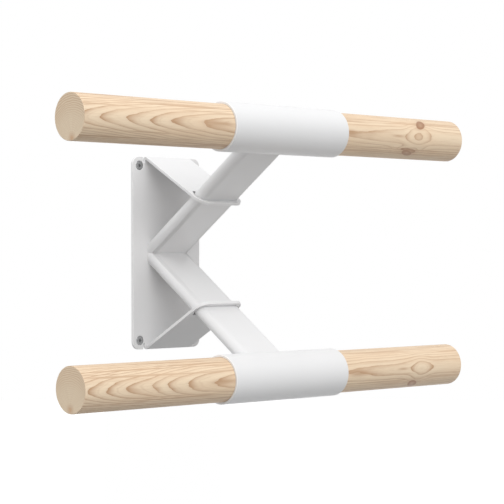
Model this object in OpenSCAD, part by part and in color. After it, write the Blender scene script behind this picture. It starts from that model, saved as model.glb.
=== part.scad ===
// Double practice barre for a wall. Two round wooden bars sit in tube sleeves.
// Each sleeve is carried by a flat-sided oval arm. The arms meet in a mitre at the
// wall bracket and pass through slots in its two folded flaps.
// The origin is the middle of the bracket's back face, which lies on the wall.
// X runs along the bars, Y points into the wall and Z points up.

/* [Bars] */
// Diameter of each wooden bar
bar_d = 42; // [36:1:48]
// Length of each wooden bar
bar_l = 500; // [300:10:900]
// Width of the eased edge round each bar end
bar_edge = 0.5; // [0.2:0.1:2]
// Height between the centres of the two bars
bar_spacing = 235; // [215:5:280]
// Distance from the wall to the centres of the bars
bar_reach = 165; // [150:5:190]

/* [Sleeves] */
// Length of each sleeve
sleeve_l = 150; // [100:5:220]
// Wall thickness of each sleeve
sleeve_wall = 2; // [1.5:0.5:4]
// Gap all round between a bar and its sleeve
sleeve_fit = 0.3; // [0.2:0.1:0.8]
// Width of the eased edges round each sleeve end
sleeve_edge = 0.4; // [0.1:0.1:0.7]

/* [Arms] */
// Width of the oval arm tube, along the bars
arm_w = 52; // [40:1:53]
// Thickness of the oval arm tube
arm_t = 14; // [12:1:18]
// Wall thickness of the arm tube
arm_wall = 2; // [1.5:0.5:3]
// Height of an arm's centre line above the bracket's middle, at its front face
arm_root = 4; // [2:0.5:6]

/* [Wall bracket] */
// Width of the bracket plate
plate_w = 90; // [88:1:120]
// Height of the bracket plate
plate_h = 195; // [180:5:215]
// Radius of the plate's corners
plate_corner_r = 8; // [4:1:12]
// Thickness of the bracket sheet
sheet_t = 3; // [2:0.5:4]
// Inside radius of the two folds
fold_r = 1; // [0.5:0.5:3]
// Slope of the flaps below the level, in degrees
flap_slope = 29.5; // [24:0.5:34]
// Sheet left on each side of the slot
flap_web = 2.7; // [2:0.1:4]
// Sheet left in front of the slot
flap_lip = 5; // [4:0.5:12]
// Radius of each flap's front corners
flap_corner_r = 12; // [4:1:14]
// Gap round the arm in the slot
slot_fit = 0.7; // [0.6:0.1:1]
// Width of the relief cuts beside each fold
relief_w = 2; // [1:0.5:2.5]
// Depth of the relief cuts past the start of the fold
relief_past_fold = 1; // [0.5:0.5:2]

/* [Wall screws] */
// Shank diameter of the wall screws
screw_d = 5; // [4:0.5:6]
// Length of the wall screws
screw_l = 50; // [30:5:80]
// Length of a wall screw's point
screw_point_l = 6; // [4:1:9]
// Head diameter of the wall screws
screw_head_d = 9.5; // [8:0.5:11]
// Distance from the plate's edges to the screw centres
screw_inset = 9; // [8:0.5:10]
// Gap round the shank in its hole
screw_fit = 0.25; // [0.1:0.05:0.4]
// Gap between a countersunk head and its seat
head_fit = 0.1; // [0.05:0.05:0.2]
// Width of the arms of the cross recess in the head
recess_w = 1.5; // [1:0.1:1.8]
// Length of the arms of the cross recess, end to end
recess_l = 5.4; // [4:0.2:6]
// Depth of the cross recess
recess_depth = 1.8; // [1:0.1:2]

/* [Bar screws] */
// Shank diameter of the bar screws
bar_screw_d = 4; // [3:0.5:5]
// Length of the bar screws under the head
bar_screw_l = 22; // [12:1:30]
// Head diameter of the bar screws
bar_screw_head_d = 8; // [7:0.5:10]
// Head height of the bar screws
bar_screw_head_h = 2.6; // [2:0.1:3]
// Distance from each sleeve end to its bar screw
bar_screw_inset = 15; // [10:1:30]
// Gap round the shank in the sleeve's hole
bar_screw_fit = 0.25; // [0.1:0.05:0.4]
// Gap round the shank in the bar's pilot hole
pilot_fit = 0.05; // [0.02:0.01:0.1]

/* [Hidden] */
$fn = 64;

// Overrun of every cut past the face that it opens
overrun = 1;

// Height of the upper bar's centre above the bracket's middle
bar_z = bar_spacing / 2;
sleeve_bore_d = bar_d + 2 * sleeve_fit;
sleeve_d = sleeve_bore_d + 2 * sleeve_wall;

// The arm's centre line runs from the bracket's front face to the bar's centre
arm_run = bar_reach - sheet_t;
arm_rise = bar_z - arm_root;
arm_angle = atan(arm_rise / arm_run);
arm_l = sqrt(arm_run * arm_run + arm_rise * arm_rise);

// Outside radius of each fold, and the height of its centre
fold_out_r = fold_r + sheet_t;
fold_z = plate_h / 2 - fold_out_r;
// Number of flats that make up the curve of each fold
fold_steps = 24;

// Angle between an arm and the flap that it passes through
cross_angle = arm_angle + flap_slope;
// Radius from the fold's centre to the middle of the flap's thickness
flap_mid_r = fold_r + sheet_t / 2;
fold_to_root = fold_z - arm_root;
// Distance along the arm from the bracket's face to the middle of the flap
cross_along_arm = (flap_mid_r + fold_r * sin(flap_slope) + fold_to_root * cos(flap_slope))
    / sin(cross_angle);
// Distance along the flap from the end of its fold to the middle of the slot
cross_along_flap = fold_to_root * sin(flap_slope) - fold_r * cos(flap_slope)
    + cross_along_arm * cos(cross_angle);

// The slot is cut square to the sheet, so it is longer than the arm is thick
slot_w = arm_w + 2 * slot_fit;
slot_l = arm_t / sin(cross_angle) + sheet_t / tan(cross_angle) + 2 * slot_fit;
flap_w = slot_w + 2 * flap_web;
flap_l = cross_along_flap + slot_l / 2 + flap_lip;

// Screw centres, and the cone under each countersunk head
screw_x = plate_w / 2 - screw_inset;
screw_z = plate_h / 2 - screw_inset;
screw_cone_h = (screw_head_d - screw_d) / 2;
// Straight rim of the head, deep enough for the cone to end at the sheet's back
screw_rim_h = max(0, sheet_t - screw_cone_h);
screw_hole_d = screw_d + 2 * screw_fit;
screw_seat_d = screw_head_d + 2 * head_fit;
screw_seat_h = (screw_seat_d - screw_hole_d) / 2;

bar_screw_x = sleeve_l / 2 - bar_screw_inset;
// Radius of the ball that rounds a bar screw's head
bar_screw_dome_r = bar_screw_head_d * bar_screw_head_d / 8 / bar_screw_head_h
    + bar_screw_head_h / 2;

// Rectangle with round corners, centred
module round_plate(w, h, r) {
    square([w - 2 * r, h], center = true);
    square([w, h - 2 * r], center = true);
    for (x = [-1, 1], y = [-1, 1])
        translate([x * (w / 2 - r), y * (h / 2 - r)]) circle(r = r);
}

// Flat-sided oval, w wide and t thick, centred
module oval(w, t) {
    square([w - t, t], center = true);
    for (side = [-1, 1]) translate([side * (w - t) / 2, 0]) circle(d = t);
}

// Plate outline seen from the front: the folds start from the tongues at its ends
module plate_outline() {
    relief_depth = fold_out_r + relief_past_fold;
    difference() {
        round_plate(plate_w, plate_h, plate_corner_r);
        for (side = [-1, 1]) translate([0, side * plate_h / 2]) {
            square([flap_w + 2 * relief_w, 2 * relief_depth], center = true);
            for (end = [-1, 1])
                translate([end * (flap_w + relief_w) / 2, -side * relief_depth])
                    circle(d = relief_w);
        }
    }
    square([flap_w, 2 * fold_z], center = true);
}

// Points of the fold at radius r from its centre, from the plate round to the flap
function fold_arc(r) = [
    for (step = [0 : fold_steps])
        let (turn = step / fold_steps * (90 + flap_slope)) [r * cos(turn), r * sin(turn)]
];

// Section seen along the bars: the plate's end, the fold and the whole flap, from
// the fold's centre
function fold_section() =
    let (
        outer = fold_arc(fold_out_r),
        inner = fold_arc(fold_r),
        along = [-flap_l * cos(flap_slope), -flap_l * sin(flap_slope)]
    )
    concat(
        [[fold_out_r, -fold_out_r]], outer,
        [outer[fold_steps] + along, inner[fold_steps] + along],
        [for (step = [fold_steps : -1 : 0]) inner[step]], [[fold_r, -fold_out_r]]
    );

// What is cut out of the flap in the flat: the arm's slot and the two front corners
module flap_cuts() {
    translate([0, cross_along_flap]) oval(slot_w, slot_l);
    for (side = [0, 1]) mirror([side, 0])
        translate([flap_w / 2 - flap_corner_r, flap_l - flap_corner_r]) difference() {
            square(flap_corner_r + overrun);
            circle(r = flap_corner_r);
        }
}

// Upper fold and flap: the sheet turns forwards round the fold's centre and runs on
// down the flap's slope
module flap() {
    translate([0, -fold_out_r, fold_z]) difference() {
        translate([-flap_w / 2, 0, 0]) rotate([90, 0, 90])
            linear_extrude(flap_w) polygon(fold_section());
        rotate([180 + flap_slope, 0, 0]) translate([0, 0, -fold_out_r - overrun])
            linear_extrude(sheet_t + 2 * overrun) flap_cuts();
    }
}

// Countersunk hole through the plate at one screw
module screw_hole() {
    translate([0, -sheet_t, 0]) rotate([-90, 0, 0]) {
        translate([0, 0, -overrun]) cylinder(h = screw_rim_h + overrun, d = screw_seat_d);
        translate([0, 0, screw_rim_h])
            cylinder(h = screw_seat_h, d1 = screw_seat_d, d2 = screw_hole_d);
        cylinder(h = sheet_t + overrun, d = screw_hole_d);
    }
}

// Places its children at the four wall screws
module at_wall_screws() {
    for (x = [-1, 1], z = [-1, 1]) translate([x * screw_x, 0, z * screw_z]) children();
}

// One sheet, cut flat and folded at both ends
module wall_bracket() color("white") {
    difference() {
        rotate([90, 0, 0]) linear_extrude(sheet_t) plate_outline();
        at_wall_screws() screw_hole();
    }
    flap();
    mirror([0, 0, 1]) flap();
}

// Straight tube of the arm's section, from behind the bracket to the bar's centre
module arm_tube() {
    translate([0, -sheet_t, arm_root]) rotate([90 - arm_angle, 0, 0])
        translate([0, 0, -arm_t]) linear_extrude(arm_l + arm_t) difference() {
            oval(arm_w, arm_t);
            oval(arm_w - 2 * arm_wall, arm_t - 2 * arm_wall);
        }
}

// Solid round rod along X at the upper bar's centre
module rod_at_bar(d, l) {
    translate([-l / 2, -bar_reach, bar_z]) rotate([0, 90, 0]) cylinder(h = l, d = d);
}

// Upper arm: flat on the bracket, mitred at mid height and coped round the sleeve
module upper_arm() color("white") {
    difference() {
        intersection() {
            arm_tube();
            translate([-arm_w, -bar_reach, 0]) cube([2 * arm_w, arm_run, bar_z]);
        }
        rod_at_bar(sleeve_d, sleeve_l);
    }
}

module lower_arm() mirror([0, 0, 1]) upper_arm();

// Places its children at the two bar screws, with Z out of the sleeve's back
module at_bar_screws() {
    for (side = [-1, 1]) at_bar_screw(side) children();
}

module at_bar_screw(side) {
    translate([side * bar_screw_x, sleeve_d / 2 - bar_reach, bar_z])
        rotate([-90, 0, 0]) children();
}

// Upper sleeve: a tube with eased ends and two screw holes in its back
module upper_sleeve() color("white") {
    bore_r = sleeve_bore_d / 2;
    out_r = sleeve_d / 2;
    difference() {
        translate([-sleeve_l / 2, -bar_reach, bar_z]) rotate([0, 90, 0])
            rotate_extrude() polygon([
                [bore_r, sleeve_edge],
                [bore_r + sleeve_edge, 0],
                [out_r - sleeve_edge, 0],
                [out_r, sleeve_edge],
                [out_r, sleeve_l - sleeve_edge],
                [out_r - sleeve_edge, sleeve_l],
                [bore_r + sleeve_edge, sleeve_l],
                [bore_r, sleeve_l - sleeve_edge]
            ]);
        at_bar_screws() translate([0, 0, -bar_d / 2])
            cylinder(h = bar_d / 2 + overrun, d = bar_screw_d + 2 * bar_screw_fit);
    }
}

module lower_sleeve() mirror([0, 0, 1]) upper_sleeve();

// Upper bar: a round rod with eased ends and a pilot hole for each bar screw
module upper_bar() color("burlywood") {
    difference() {
        translate([-bar_l / 2, -bar_reach, bar_z]) rotate([0, 90, 0])
            rotate_extrude() polygon([
                [0, 0],
                [bar_d / 2 - bar_edge, 0],
                [bar_d / 2, bar_edge],
                [bar_d / 2, bar_l - bar_edge],
                [bar_d / 2 - bar_edge, bar_l],
                [0, bar_l]
            ]);
        at_bar_screws() translate([0, 0, -bar_screw_l])
            cylinder(h = bar_screw_l + overrun, d = bar_screw_d + 2 * pilot_fit);
    }
}

module lower_bar() mirror([0, 0, 1]) upper_bar();

// Countersunk screw with its head in the plate and its shank in the wall
module wall_screw(x_side, z_side) color("dimgray") {
    head_r = screw_head_d / 2;
    shank_r = screw_d / 2;
    translate([x_side * screw_x, -sheet_t, z_side * screw_z]) rotate([-90, 0, 0])
        difference() {
            rotate_extrude() polygon([
                [0, 0],
                [head_r, 0],
                [head_r, screw_rim_h],
                [shank_r, screw_rim_h + screw_cone_h],
                [shank_r, screw_l - screw_point_l],
                [0, screw_l]
            ]);
            for (turn = [0, 90]) rotate([0, 0, turn])
                translate([-recess_l / 2, -recess_w / 2, -overrun])
                    cube([recess_l, recess_w, recess_depth + overrun]);
        }
}

// Round-headed screw that holds a bar in its sleeve
module bar_screw(side) color("dimgray") {
    at_bar_screw(side) {
        intersection() {
            cylinder(h = bar_screw_head_h, d = bar_screw_head_d);
            translate([0, 0, bar_screw_head_h - bar_screw_dome_r]) sphere(r = bar_screw_dome_r);
        }
        translate([0, 0, -bar_screw_l]) cylinder(h = bar_screw_l, d = bar_screw_d);
    }
}

wall_bracket();
upper_arm();
lower_arm();
upper_sleeve();
lower_sleeve();
upper_bar();
lower_bar();
wall_screw(-1, 1);  // wall_screw_top_left
wall_screw(1, 1);  // wall_screw_top_right
wall_screw(-1, -1);  // wall_screw_bottom_left
wall_screw(1, -1);  // wall_screw_bottom_right
bar_screw(-1);  // bar_screw_upper_left
bar_screw(1);  // bar_screw_upper_right
mirror([0, 0, 1]) bar_screw(-1);  // bar_screw_lower_left
mirror([0, 0, 1]) bar_screw(1);  // bar_screw_lower_right
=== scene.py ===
"""Wall-mounted double ballet barre, modelled and finished round its CAD frame.

Lengths are in metres unless a name ends in _mm. The origin is the middle of the wall bracket's
back face, X runs along the bars, Y points into the wall and Z points up.
"""

import math

import bmesh
import bpy
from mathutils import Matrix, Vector


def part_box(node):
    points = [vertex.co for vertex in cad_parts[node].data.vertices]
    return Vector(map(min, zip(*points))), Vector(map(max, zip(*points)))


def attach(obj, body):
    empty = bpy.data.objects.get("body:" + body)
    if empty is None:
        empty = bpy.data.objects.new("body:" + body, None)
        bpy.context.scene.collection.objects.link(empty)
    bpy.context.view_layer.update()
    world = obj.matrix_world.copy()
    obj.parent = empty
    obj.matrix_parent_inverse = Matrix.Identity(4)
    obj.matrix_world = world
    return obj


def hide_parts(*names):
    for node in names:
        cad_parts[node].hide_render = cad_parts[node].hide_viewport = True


bl_info = {
    "name": "Ballet Barre",
    "version": (1, 0, 0),
    "blender": (4, 5, 0),
    "location": "3D View > Sidebar > Barre",
    "description": "Models and finishes the pieces of a wall-mounted double ballet barre",
    "category": "Object",
}

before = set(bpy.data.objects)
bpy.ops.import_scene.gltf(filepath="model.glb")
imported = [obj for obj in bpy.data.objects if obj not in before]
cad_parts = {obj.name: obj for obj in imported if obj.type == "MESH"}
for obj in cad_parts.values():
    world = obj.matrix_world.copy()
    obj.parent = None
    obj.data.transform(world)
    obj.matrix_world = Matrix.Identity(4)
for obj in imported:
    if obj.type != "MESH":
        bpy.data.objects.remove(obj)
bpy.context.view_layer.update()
BAR_LOW, BAR_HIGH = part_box("upper_bar")
SLEEVE_LOW, SLEEVE_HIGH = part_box("upper_sleeve")
ARM_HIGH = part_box("upper_arm")[1]
PLATE_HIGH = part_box("wall_bracket")[1]
SCREW_LOW, SCREW_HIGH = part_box("wall_screw_top_left")

BAR_Y = (BAR_LOW.y + BAR_HIGH.y) / 2
BAR_Z = (BAR_LOW.z + BAR_HIGH.z) / 2
BAR_RADIUS = (BAR_HIGH.z - BAR_LOW.z) / 2
BAR_RADIUS_MM = 1000 * BAR_RADIUS
SLEEVE_RADIUS = (SLEEVE_HIGH.z - SLEEVE_LOW.z) / 2
SCREW_X = (SCREW_LOW.x + SCREW_HIGH.x) / 2
SCREW_Z = (SCREW_LOW.z + SCREW_HIGH.z) / 2

# Sides and steps of the round forms
ROD_SIDES = 128
SCREW_SIDES = 40
DOME_STEPS = 8
EDGE_STEPS = 3
# Points that are closer together than this become one
MERGE_DISTANCE = 1e-6
# A direction with at least this part along an axis counts as lying along it
ALONG_AXIS = 0.99
# How far the cope at an arm's end reaches into its sleeve
COPE_OVERLAP = 0.00005
# Edges this near a screw's axis and this near the plate's back are inside a screw hole
HOLE_REACH = 0.006
HOLE_DEPTH = 0.0025
# The length of a wall screw's point, beyond its thread
POINT_LENGTH = 0.006
# The strip of wall behind the bracket, and the gap that keeps their faces apart
WALL_WIDTH = 0.16
WALL_HEIGHT = 1.28
WALL_GAP = 0.0004
FLOOR_RADIUS = 7.0
FLOOR_GREY = (0.86, 0.86, 0.86, 1)
FLOOR_GLOW = 0.45

# Where the growth rings of each bar come to a point on its front, in mm along the bar
UPPER_RING_TIPS = (-262, -233, -206, -176, -150, -111, -60, 20, 72, 330)
LOWER_RING_TIPS = (-268, -246, -226, -204, -175, -156, -136, -106, -50, 10, 68, 330)
# Knots and streaks: place along the bar, height on it, half length and half height, in mm. A knot
# also has its lean, in mm along for each mm up, and how dark it is
UPPER_KNOTS = (
    (188.5, 13.0, 7.0, 4.8, 0.8, 1.0),
    (173.0, -13.6, 9.0, 2.2, -1.0, 0.75),
    (170.0, -15.6, 8.0, 2.6, -1.4, 0.9),
    (165.0, -12.2, 8.0, 1.4, 0.0, 0.8),
)
LOWER_KNOTS = ((180, -16.0, 7.0, 3.8, -0.8, 1.0),)
# Closed loops of grain: as above, and the number of rings that each one raises
UPPER_EYES = ((180.5, 0.6, 16.5, 14.0, 1.60),)
LOWER_EYES = ((186.5, 0.4, 14.0, 17.0, 1.17),)
UPPER_STREAKS = ((-92, 0.6, 19, 2.2), (82, 0.2, 9, 3.0), (150, 0.3, 9, 1.3))
LOWER_STREAKS = ((-88, 0.2, 17, 2.2), (92, -1.6, 13, 2.8), (158, 0.2, 8, 1.3))
# The heart of each bar's rings on its sawn ends, from the middle of the end, in mm
UPPER_HEART = (0, -3.0, -18.4)
LOWER_HEART = (0, 0.6, -17.0)
END_RING_WIDTH_MM = 1.85
# The stretch along a bar over which its rings are counted
CURVE_START_MM = -300.0
CURVE_END_MM = 350.0
# How strongly the parts of the grain show
LINE_DEPTH = 0.74
TIP_DEPTH = 0.30
DRY_SPELL_DEPTH = 0.30
CLOSE_LINE_DEPTH = 0.74
FIBRE_DEPTH = 0.24
STREAK_DEPTH = 0.72
# Colours that vary the finishes
WARM_WOOD = (0.78, 0.55, 0.36, 1)
RAY_WOOD = (0.9, 0.78, 0.6, 1)
HEART_WOOD = (0.56, 0.31, 0.15, 1)
CLOUDY_COAT = (0.785, 0.785, 0.79, 1)
SPECK_GREY = (0.5, 0.5, 0.5, 1)
# Painted shade for the gaps in the slots
PAINTED_GAP_SHADE = (0.03, 0.03, 0.03, 1)
BLOOMED_ZINC = (0.33, 0.333, 0.34, 1)
RUBBED_ZINC = (0.55, 0.55, 0.56, 1)
# Painted shade: dark spots in the coating where the slots' gaps open beside the arms, in place of the
# shade that falls in the gaps: |x|, y and |z|
SLOT_SHADE_SPOT_MM = (22.0, -71.6, 60.5)
SLOT_SHADE_SPOT_RADIUS_MM = 2.4


class BarreSizes(bpy.types.PropertyGroup):
    """Sizes of the details that the visual pieces add to the frame."""

    bar_edge: bpy.props.FloatProperty(
        name="Bar edge", description="Width of the eased edge round each bar end",
        default=0.0005, min=0.0001, unit="LENGTH",
    )
    sleeve_wall: bpy.props.FloatProperty(
        name="Sleeve wall", description="Thickness of the sleeve tube",
        default=0.00225, min=0.001, unit="LENGTH",
    )
    sleeve_mouth: bpy.props.FloatProperty(
        name="Sleeve mouth", description="Width of the slope inside each sleeve end",
        default=0.0003, min=0.0001, unit="LENGTH",
    )
    sleeve_edge: bpy.props.FloatProperty(
        name="Sleeve edge", description="Radius of the edges round each sleeve end",
        default=0.0005, min=0.0001, unit="LENGTH",
    )
    sheet_edge: bpy.props.FloatProperty(
        name="Sheet edge", description="Radius that the coating gives the bracket's cut edges",
        default=0.00045, min=0.0001, unit="LENGTH",
    )
    arm_width: bpy.props.FloatProperty(
        name="Arm width", description="Width of the oval arm tube along the bars",
        default=0.052, min=0.02, unit="LENGTH",
    )
    arm_thickness: bpy.props.FloatProperty(
        name="Arm thickness", description="Thickness of the oval arm tube",
        default=0.014, min=0.005, unit="LENGTH",
    )
    arm_root: bpy.props.FloatProperty(
        name="Arm root", description="Height of an arm's centre line at the bracket's face",
        default=0.004, min=0.0, unit="LENGTH",
    )
    head_diameter: bpy.props.FloatProperty(
        name="Wall screw head", description="Diameter of a wall screw's countersunk head",
        default=0.0095, min=0.004, unit="LENGTH",
    )
    shank_diameter: bpy.props.FloatProperty(
        name="Wall screw shank", description="Outside diameter of a wall screw's thread",
        default=0.005, min=0.002, unit="LENGTH",
    )
    thread_pitch: bpy.props.FloatProperty(
        name="Thread pitch", description="Distance between the turns of a wall screw's thread",
        default=0.0022, min=0.001, unit="LENGTH",
    )
    thread_turns: bpy.props.IntProperty(
        name="Thread turns", description="Number of turns of thread on a wall screw",
        default=15, min=4,
    )
    bar_screw_diameter: bpy.props.FloatProperty(
        name="Bar screw head", description="Diameter of a bar screw's round head",
        default=0.008, min=0.004, unit="LENGTH",
    )
    bar_screw_height: bpy.props.FloatProperty(
        name="Bar screw head height", description="Height of a bar screw's round head",
        default=0.0026, min=0.001, unit="LENGTH",
    )


class BarreFinish(bpy.types.PropertyGroup):
    """Colours and surface detail of the three finishes."""

    coat: bpy.props.FloatVectorProperty(
        name="Coating", description="Colour of the white powder coating",
        subtype="COLOR", size=4, default=(0.80, 0.80, 0.805, 1), min=0, max=1,
    )
    # Painted highlight: rounded edges of the coating take this lighter colour, standing in for the
    # highlights on them as well as for rubbing
    coat_edge_highlight: bpy.props.FloatVectorProperty(
        name="Coating at edges", description="Colour of the coating where it is rubbed at edges",
        subtype="COLOR", size=4, default=(0.96, 0.96, 0.96, 1), min=0, max=1,
    )
    coat_roughness: bpy.props.FloatProperty(
        name="Coating roughness", description="Roughness of the satin coating",
        default=0.42, min=0, max=1, subtype="FACTOR",
    )
    early_wood: bpy.props.FloatVectorProperty(
        name="Early wood", description="Pale wood between the growth lines",
        subtype="COLOR", size=4, default=(0.855, 0.690, 0.500, 1), min=0, max=1,
    )
    late_wood: bpy.props.FloatVectorProperty(
        name="Late wood", description="Darker wood of the growth lines",
        subtype="COLOR", size=4, default=(0.50, 0.305, 0.175, 1), min=0, max=1,
    )
    knot_wood: bpy.props.FloatVectorProperty(
        name="Knots", description="Colour of the knots",
        subtype="COLOR", size=4, default=(0.36, 0.18, 0.09, 1), min=0, max=1,
    )
    end_wood: bpy.props.FloatVectorProperty(
        name="End wood", description="Colour of the sawn bar ends",
        subtype="COLOR", size=4, default=(0.725, 0.592, 0.432, 1), min=0, max=1,
    )
    ring_width_mm: bpy.props.FloatProperty(
        name="Ring width (mm)", description="Width of one year's growth in the bars",
        default=1.7, min=0.5,
    )
    zinc: bpy.props.FloatVectorProperty(
        name="Zinc", description="Colour of the dull zinc plate on the screws",
        subtype="COLOR", size=4, default=(0.46, 0.465, 0.47, 1), min=0, max=1,
    )


class BarreStage(bpy.types.PropertyGroup):
    """Camera, light and background."""

    camera_place: bpy.props.FloatVectorProperty(
        name="Camera place", description="Where the camera stands",
        subtype="TRANSLATION", unit="LENGTH", default=(-1.170248, -1.354407, 0.002655),
    )
    camera_heading: bpy.props.FloatProperty(
        name="Camera heading", description="Turn of the view to the right of straight ahead",
        subtype="ANGLE", unit="ROTATION", default=0.762567,
    )
    camera_tilt: bpy.props.FloatProperty(
        name="Camera tilt", description="Slope of the view, negative downwards",
        subtype="ANGLE", unit="ROTATION", default=-0.033162,
    )
    lens_mm: bpy.props.FloatProperty(
        name="Lens (mm)", description="Focal length on a 36 mm wide frame", default=124.388,
    )
    shift_up: bpy.props.FloatProperty(
        name="Lens shift", description="Upward shift of the frame as a part of its width",
        default=0.1116,
    )
    light_left: bpy.props.FloatProperty(
        name="Light from the left", description="Strength of the studio light from the left",
        default=0.52, min=0,
    )
    light_right: bpy.props.FloatProperty(
        name="Light from the right", description="Strength of the studio light from the right",
        default=0.18, min=0,
    )
    light_front: bpy.props.FloatProperty(
        name="Light from the front", description="Strength of the studio light from the room",
        default=0.78, min=0,
    )
    light_back: bpy.props.FloatProperty(
        name="Light from behind", description="Strength of the studio light behind the bracket",
        default=0.50, min=0,
    )
    light_above: bpy.props.FloatProperty(
        name="Light from above", description="Strength of the studio light overhead",
        default=1.15, min=0,
    )
    light_below: bpy.props.FloatProperty(
        name="Light from below", description="Strength of the light that comes up from the floor",
        default=0.06, min=0,
    )
    key_power: bpy.props.FloatProperty(
        name="Softbox power", description="Power of the large lamp above the camera",
        default=41.0, min=0, unit="POWER",
    )
    key_place: bpy.props.FloatVectorProperty(
        name="Softbox place", description="Where the middle of the large lamp hangs",
        subtype="TRANSLATION", unit="LENGTH", default=(-0.99, -2.05, 1.86),
    )
    key_size: bpy.props.FloatProperty(
        name="Softbox size", description="Width and height of the large lamp",
        default=2.4, min=0.1, unit="LENGTH",
    )
    back_power: bpy.props.FloatProperty(
        name="Back lamp power", description="Power of the lamp behind the wall on the left",
        default=16.0, min=0, unit="POWER",
    )
    back_place: bpy.props.FloatVectorProperty(
        name="Back lamp place", description="Where the middle of the back lamp hangs",
        subtype="TRANSLATION", unit="LENGTH", default=(-2.08, 1.92, 0.72),
    )
    floor_height: bpy.props.FloatProperty(
        name="Floor height", description="Height of the floor below the bracket's middle",
        default=-0.75, unit="LENGTH",
    )


# Modelling in steps, as by hand


def start_clean():
    if bpy.context.mode != "OBJECT":
        bpy.ops.object.mode_set(mode="OBJECT")
    bpy.ops.object.select_all(action="DESELECT")


def make_active(piece):
    start_clean()
    piece.select_set(True)
    bpy.context.view_layer.objects.active = piece


def name_piece(name):
    """Names the object that was added last, and its mesh."""
    piece = bpy.context.active_object
    piece.name = name
    piece.data.name = name
    return piece


def edit():
    bpy.ops.object.mode_set(mode="EDIT")


def leave_edit():
    bpy.ops.object.mode_set(mode="OBJECT")


def pick(test, part="FACE"):
    """In edit mode, selects just the faces or edges whose middle and direction pass the test."""
    piece = bpy.context.active_object
    bpy.ops.mesh.select_mode(type=part)
    bpy.ops.mesh.select_all(action="DESELECT")
    mesh = bmesh.from_edit_mesh(piece.data)
    found = False
    for item in mesh.faces if part == "FACE" else mesh.edges:
        if part == "FACE":
            chosen = test(item.calc_center_median(), item.normal)
        else:
            start, end = (vertex.co for vertex in item.verts)
            chosen = test((start + end) / 2, (end - start).normalized())
        item.select_set(bool(chosen))
        found = found or chosen
    mesh.select_flush_mode()
    bmesh.update_edit_mesh(piece.data)
    if not found:
        raise RuntimeError(f"nothing to select on {piece.name}")


def fix_place(piece):
    """Writes a piece's place, turn and scale into its mesh."""
    make_active(piece)
    bpy.ops.object.transform_apply(location=True, rotation=True, scale=True)


def face_outwards():
    bpy.ops.mesh.select_all(action="SELECT")
    bpy.ops.mesh.normals_make_consistent(inside=False)


def merge_doubles(distance=MERGE_DISTANCE):
    bpy.ops.mesh.select_all(action="SELECT")
    bpy.ops.mesh.remove_doubles(threshold=distance)


def draw_profile(points):
    """Draws an open line of points in the XZ plane, one extruded corner after another."""
    start_clean()
    bpy.ops.mesh.primitive_plane_add(size=0.001, location=(0, 0, 0))
    edit()
    bpy.ops.mesh.select_mode(type="VERT")
    bpy.ops.mesh.select_all(action="SELECT")
    bpy.ops.mesh.merge(type="CENTER")
    x0, z0 = points[0]
    bpy.ops.transform.translate(value=(x0, 0, z0))
    for x, z in points[1:]:
        bpy.ops.mesh.extrude_region_move(TRANSFORM_OT_translate={"value": (x - x0, 0, z - z0)})
        x0, z0 = x, z


def turn_profile():
    """Turns the drawn line once round the Z axis into a closed round solid."""
    bpy.ops.mesh.select_all(action="SELECT")
    bpy.ops.mesh.spin(steps=SCREW_SIDES, angle=math.tau, center=(0, 0, 0), axis=(0, 0, 1))
    merge_doubles()
    face_outwards()
    leave_edit()


def add_rod(radius, length):
    """Adds a closed rod on the upper bar's centre line."""
    bpy.ops.mesh.primitive_cylinder_add(
        vertices=ROD_SIDES, radius=radius, depth=length,
        location=(0, BAR_Y, BAR_Z), rotation=(0, math.pi / 2, 0),
    )


def add_edge_slot(piece):
    """Gives a piece two empty material slots, the second one for its rounded edges."""
    piece.data.materials.clear()
    piece.data.materials.append(None)
    piece.data.materials.append(None)


def soften(piece, width):
    """Rounds the sharp edges, with the rounded faces in the second material slot."""
    make_active(piece)
    add_edge_slot(piece)
    rounding = piece.modifiers.new("Rounded edges", "BEVEL")
    rounding.width = width
    rounding.segments = EDGE_STEPS
    rounding.limit_method = "ANGLE"
    rounding.angle_limit = math.radians(60)
    rounding.use_clamp_overlap = False
    rounding.harden_normals = False
    rounding.material = 1
    bpy.ops.object.modifier_apply(modifier=rounding.name)


def mark_edges(piece):
    """Keeps which faces are rounded edges as an attribute, one value at each face corner."""
    mesh = piece.data
    flags = [0.0] * len(mesh.loops)
    for face in mesh.polygons:
        if face.material_index == 1:
            for corner in face.loop_indices:
                flags[corner] = 1.0
            face.material_index = 0
    layer = mesh.attributes.new("rounded_edge", "FLOAT", "CORNER")
    layer.data.foreach_set("value", flags)


def keep_flats_flat(piece):
    """Shades the rounded edges smoothly and leaves the large faces truly flat."""
    make_active(piece)
    bpy.ops.object.shade_smooth_by_angle(angle=math.radians(50))
    weights = piece.modifiers.new("Flat faces", "WEIGHTED_NORMAL")
    weights.mode = "FACE_AREA"
    weights.keep_sharp = True
    bpy.ops.object.modifier_apply(modifier=weights.name)


def cut_with(piece, tool):
    make_active(piece)
    cut = piece.modifiers.new("Cut", "BOOLEAN")
    cut.operation = "DIFFERENCE"
    cut.solver = "EXACT"
    cut.object = tool
    bpy.ops.object.modifier_apply(modifier=cut.name)
    bpy.data.objects.remove(tool)


def copy_piece(piece, name):
    make_active(piece)
    bpy.ops.object.duplicate(linked=False)
    return name_piece(name)


def move_copy(piece, name, step):
    twin = copy_piece(piece, name)
    bpy.ops.transform.translate(value=step)
    fix_place(twin)
    return twin


def mirror_copy_down(piece, name):
    """Mirrors a copy to the other side of mid height, with its faces turned outwards again."""
    twin = copy_piece(piece, name)
    bpy.ops.transform.mirror(constraint_axis=(False, False, True), center_override=(0, 0, 0))
    fix_place(twin)
    edit()
    face_outwards()
    leave_edit()
    return twin


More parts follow.
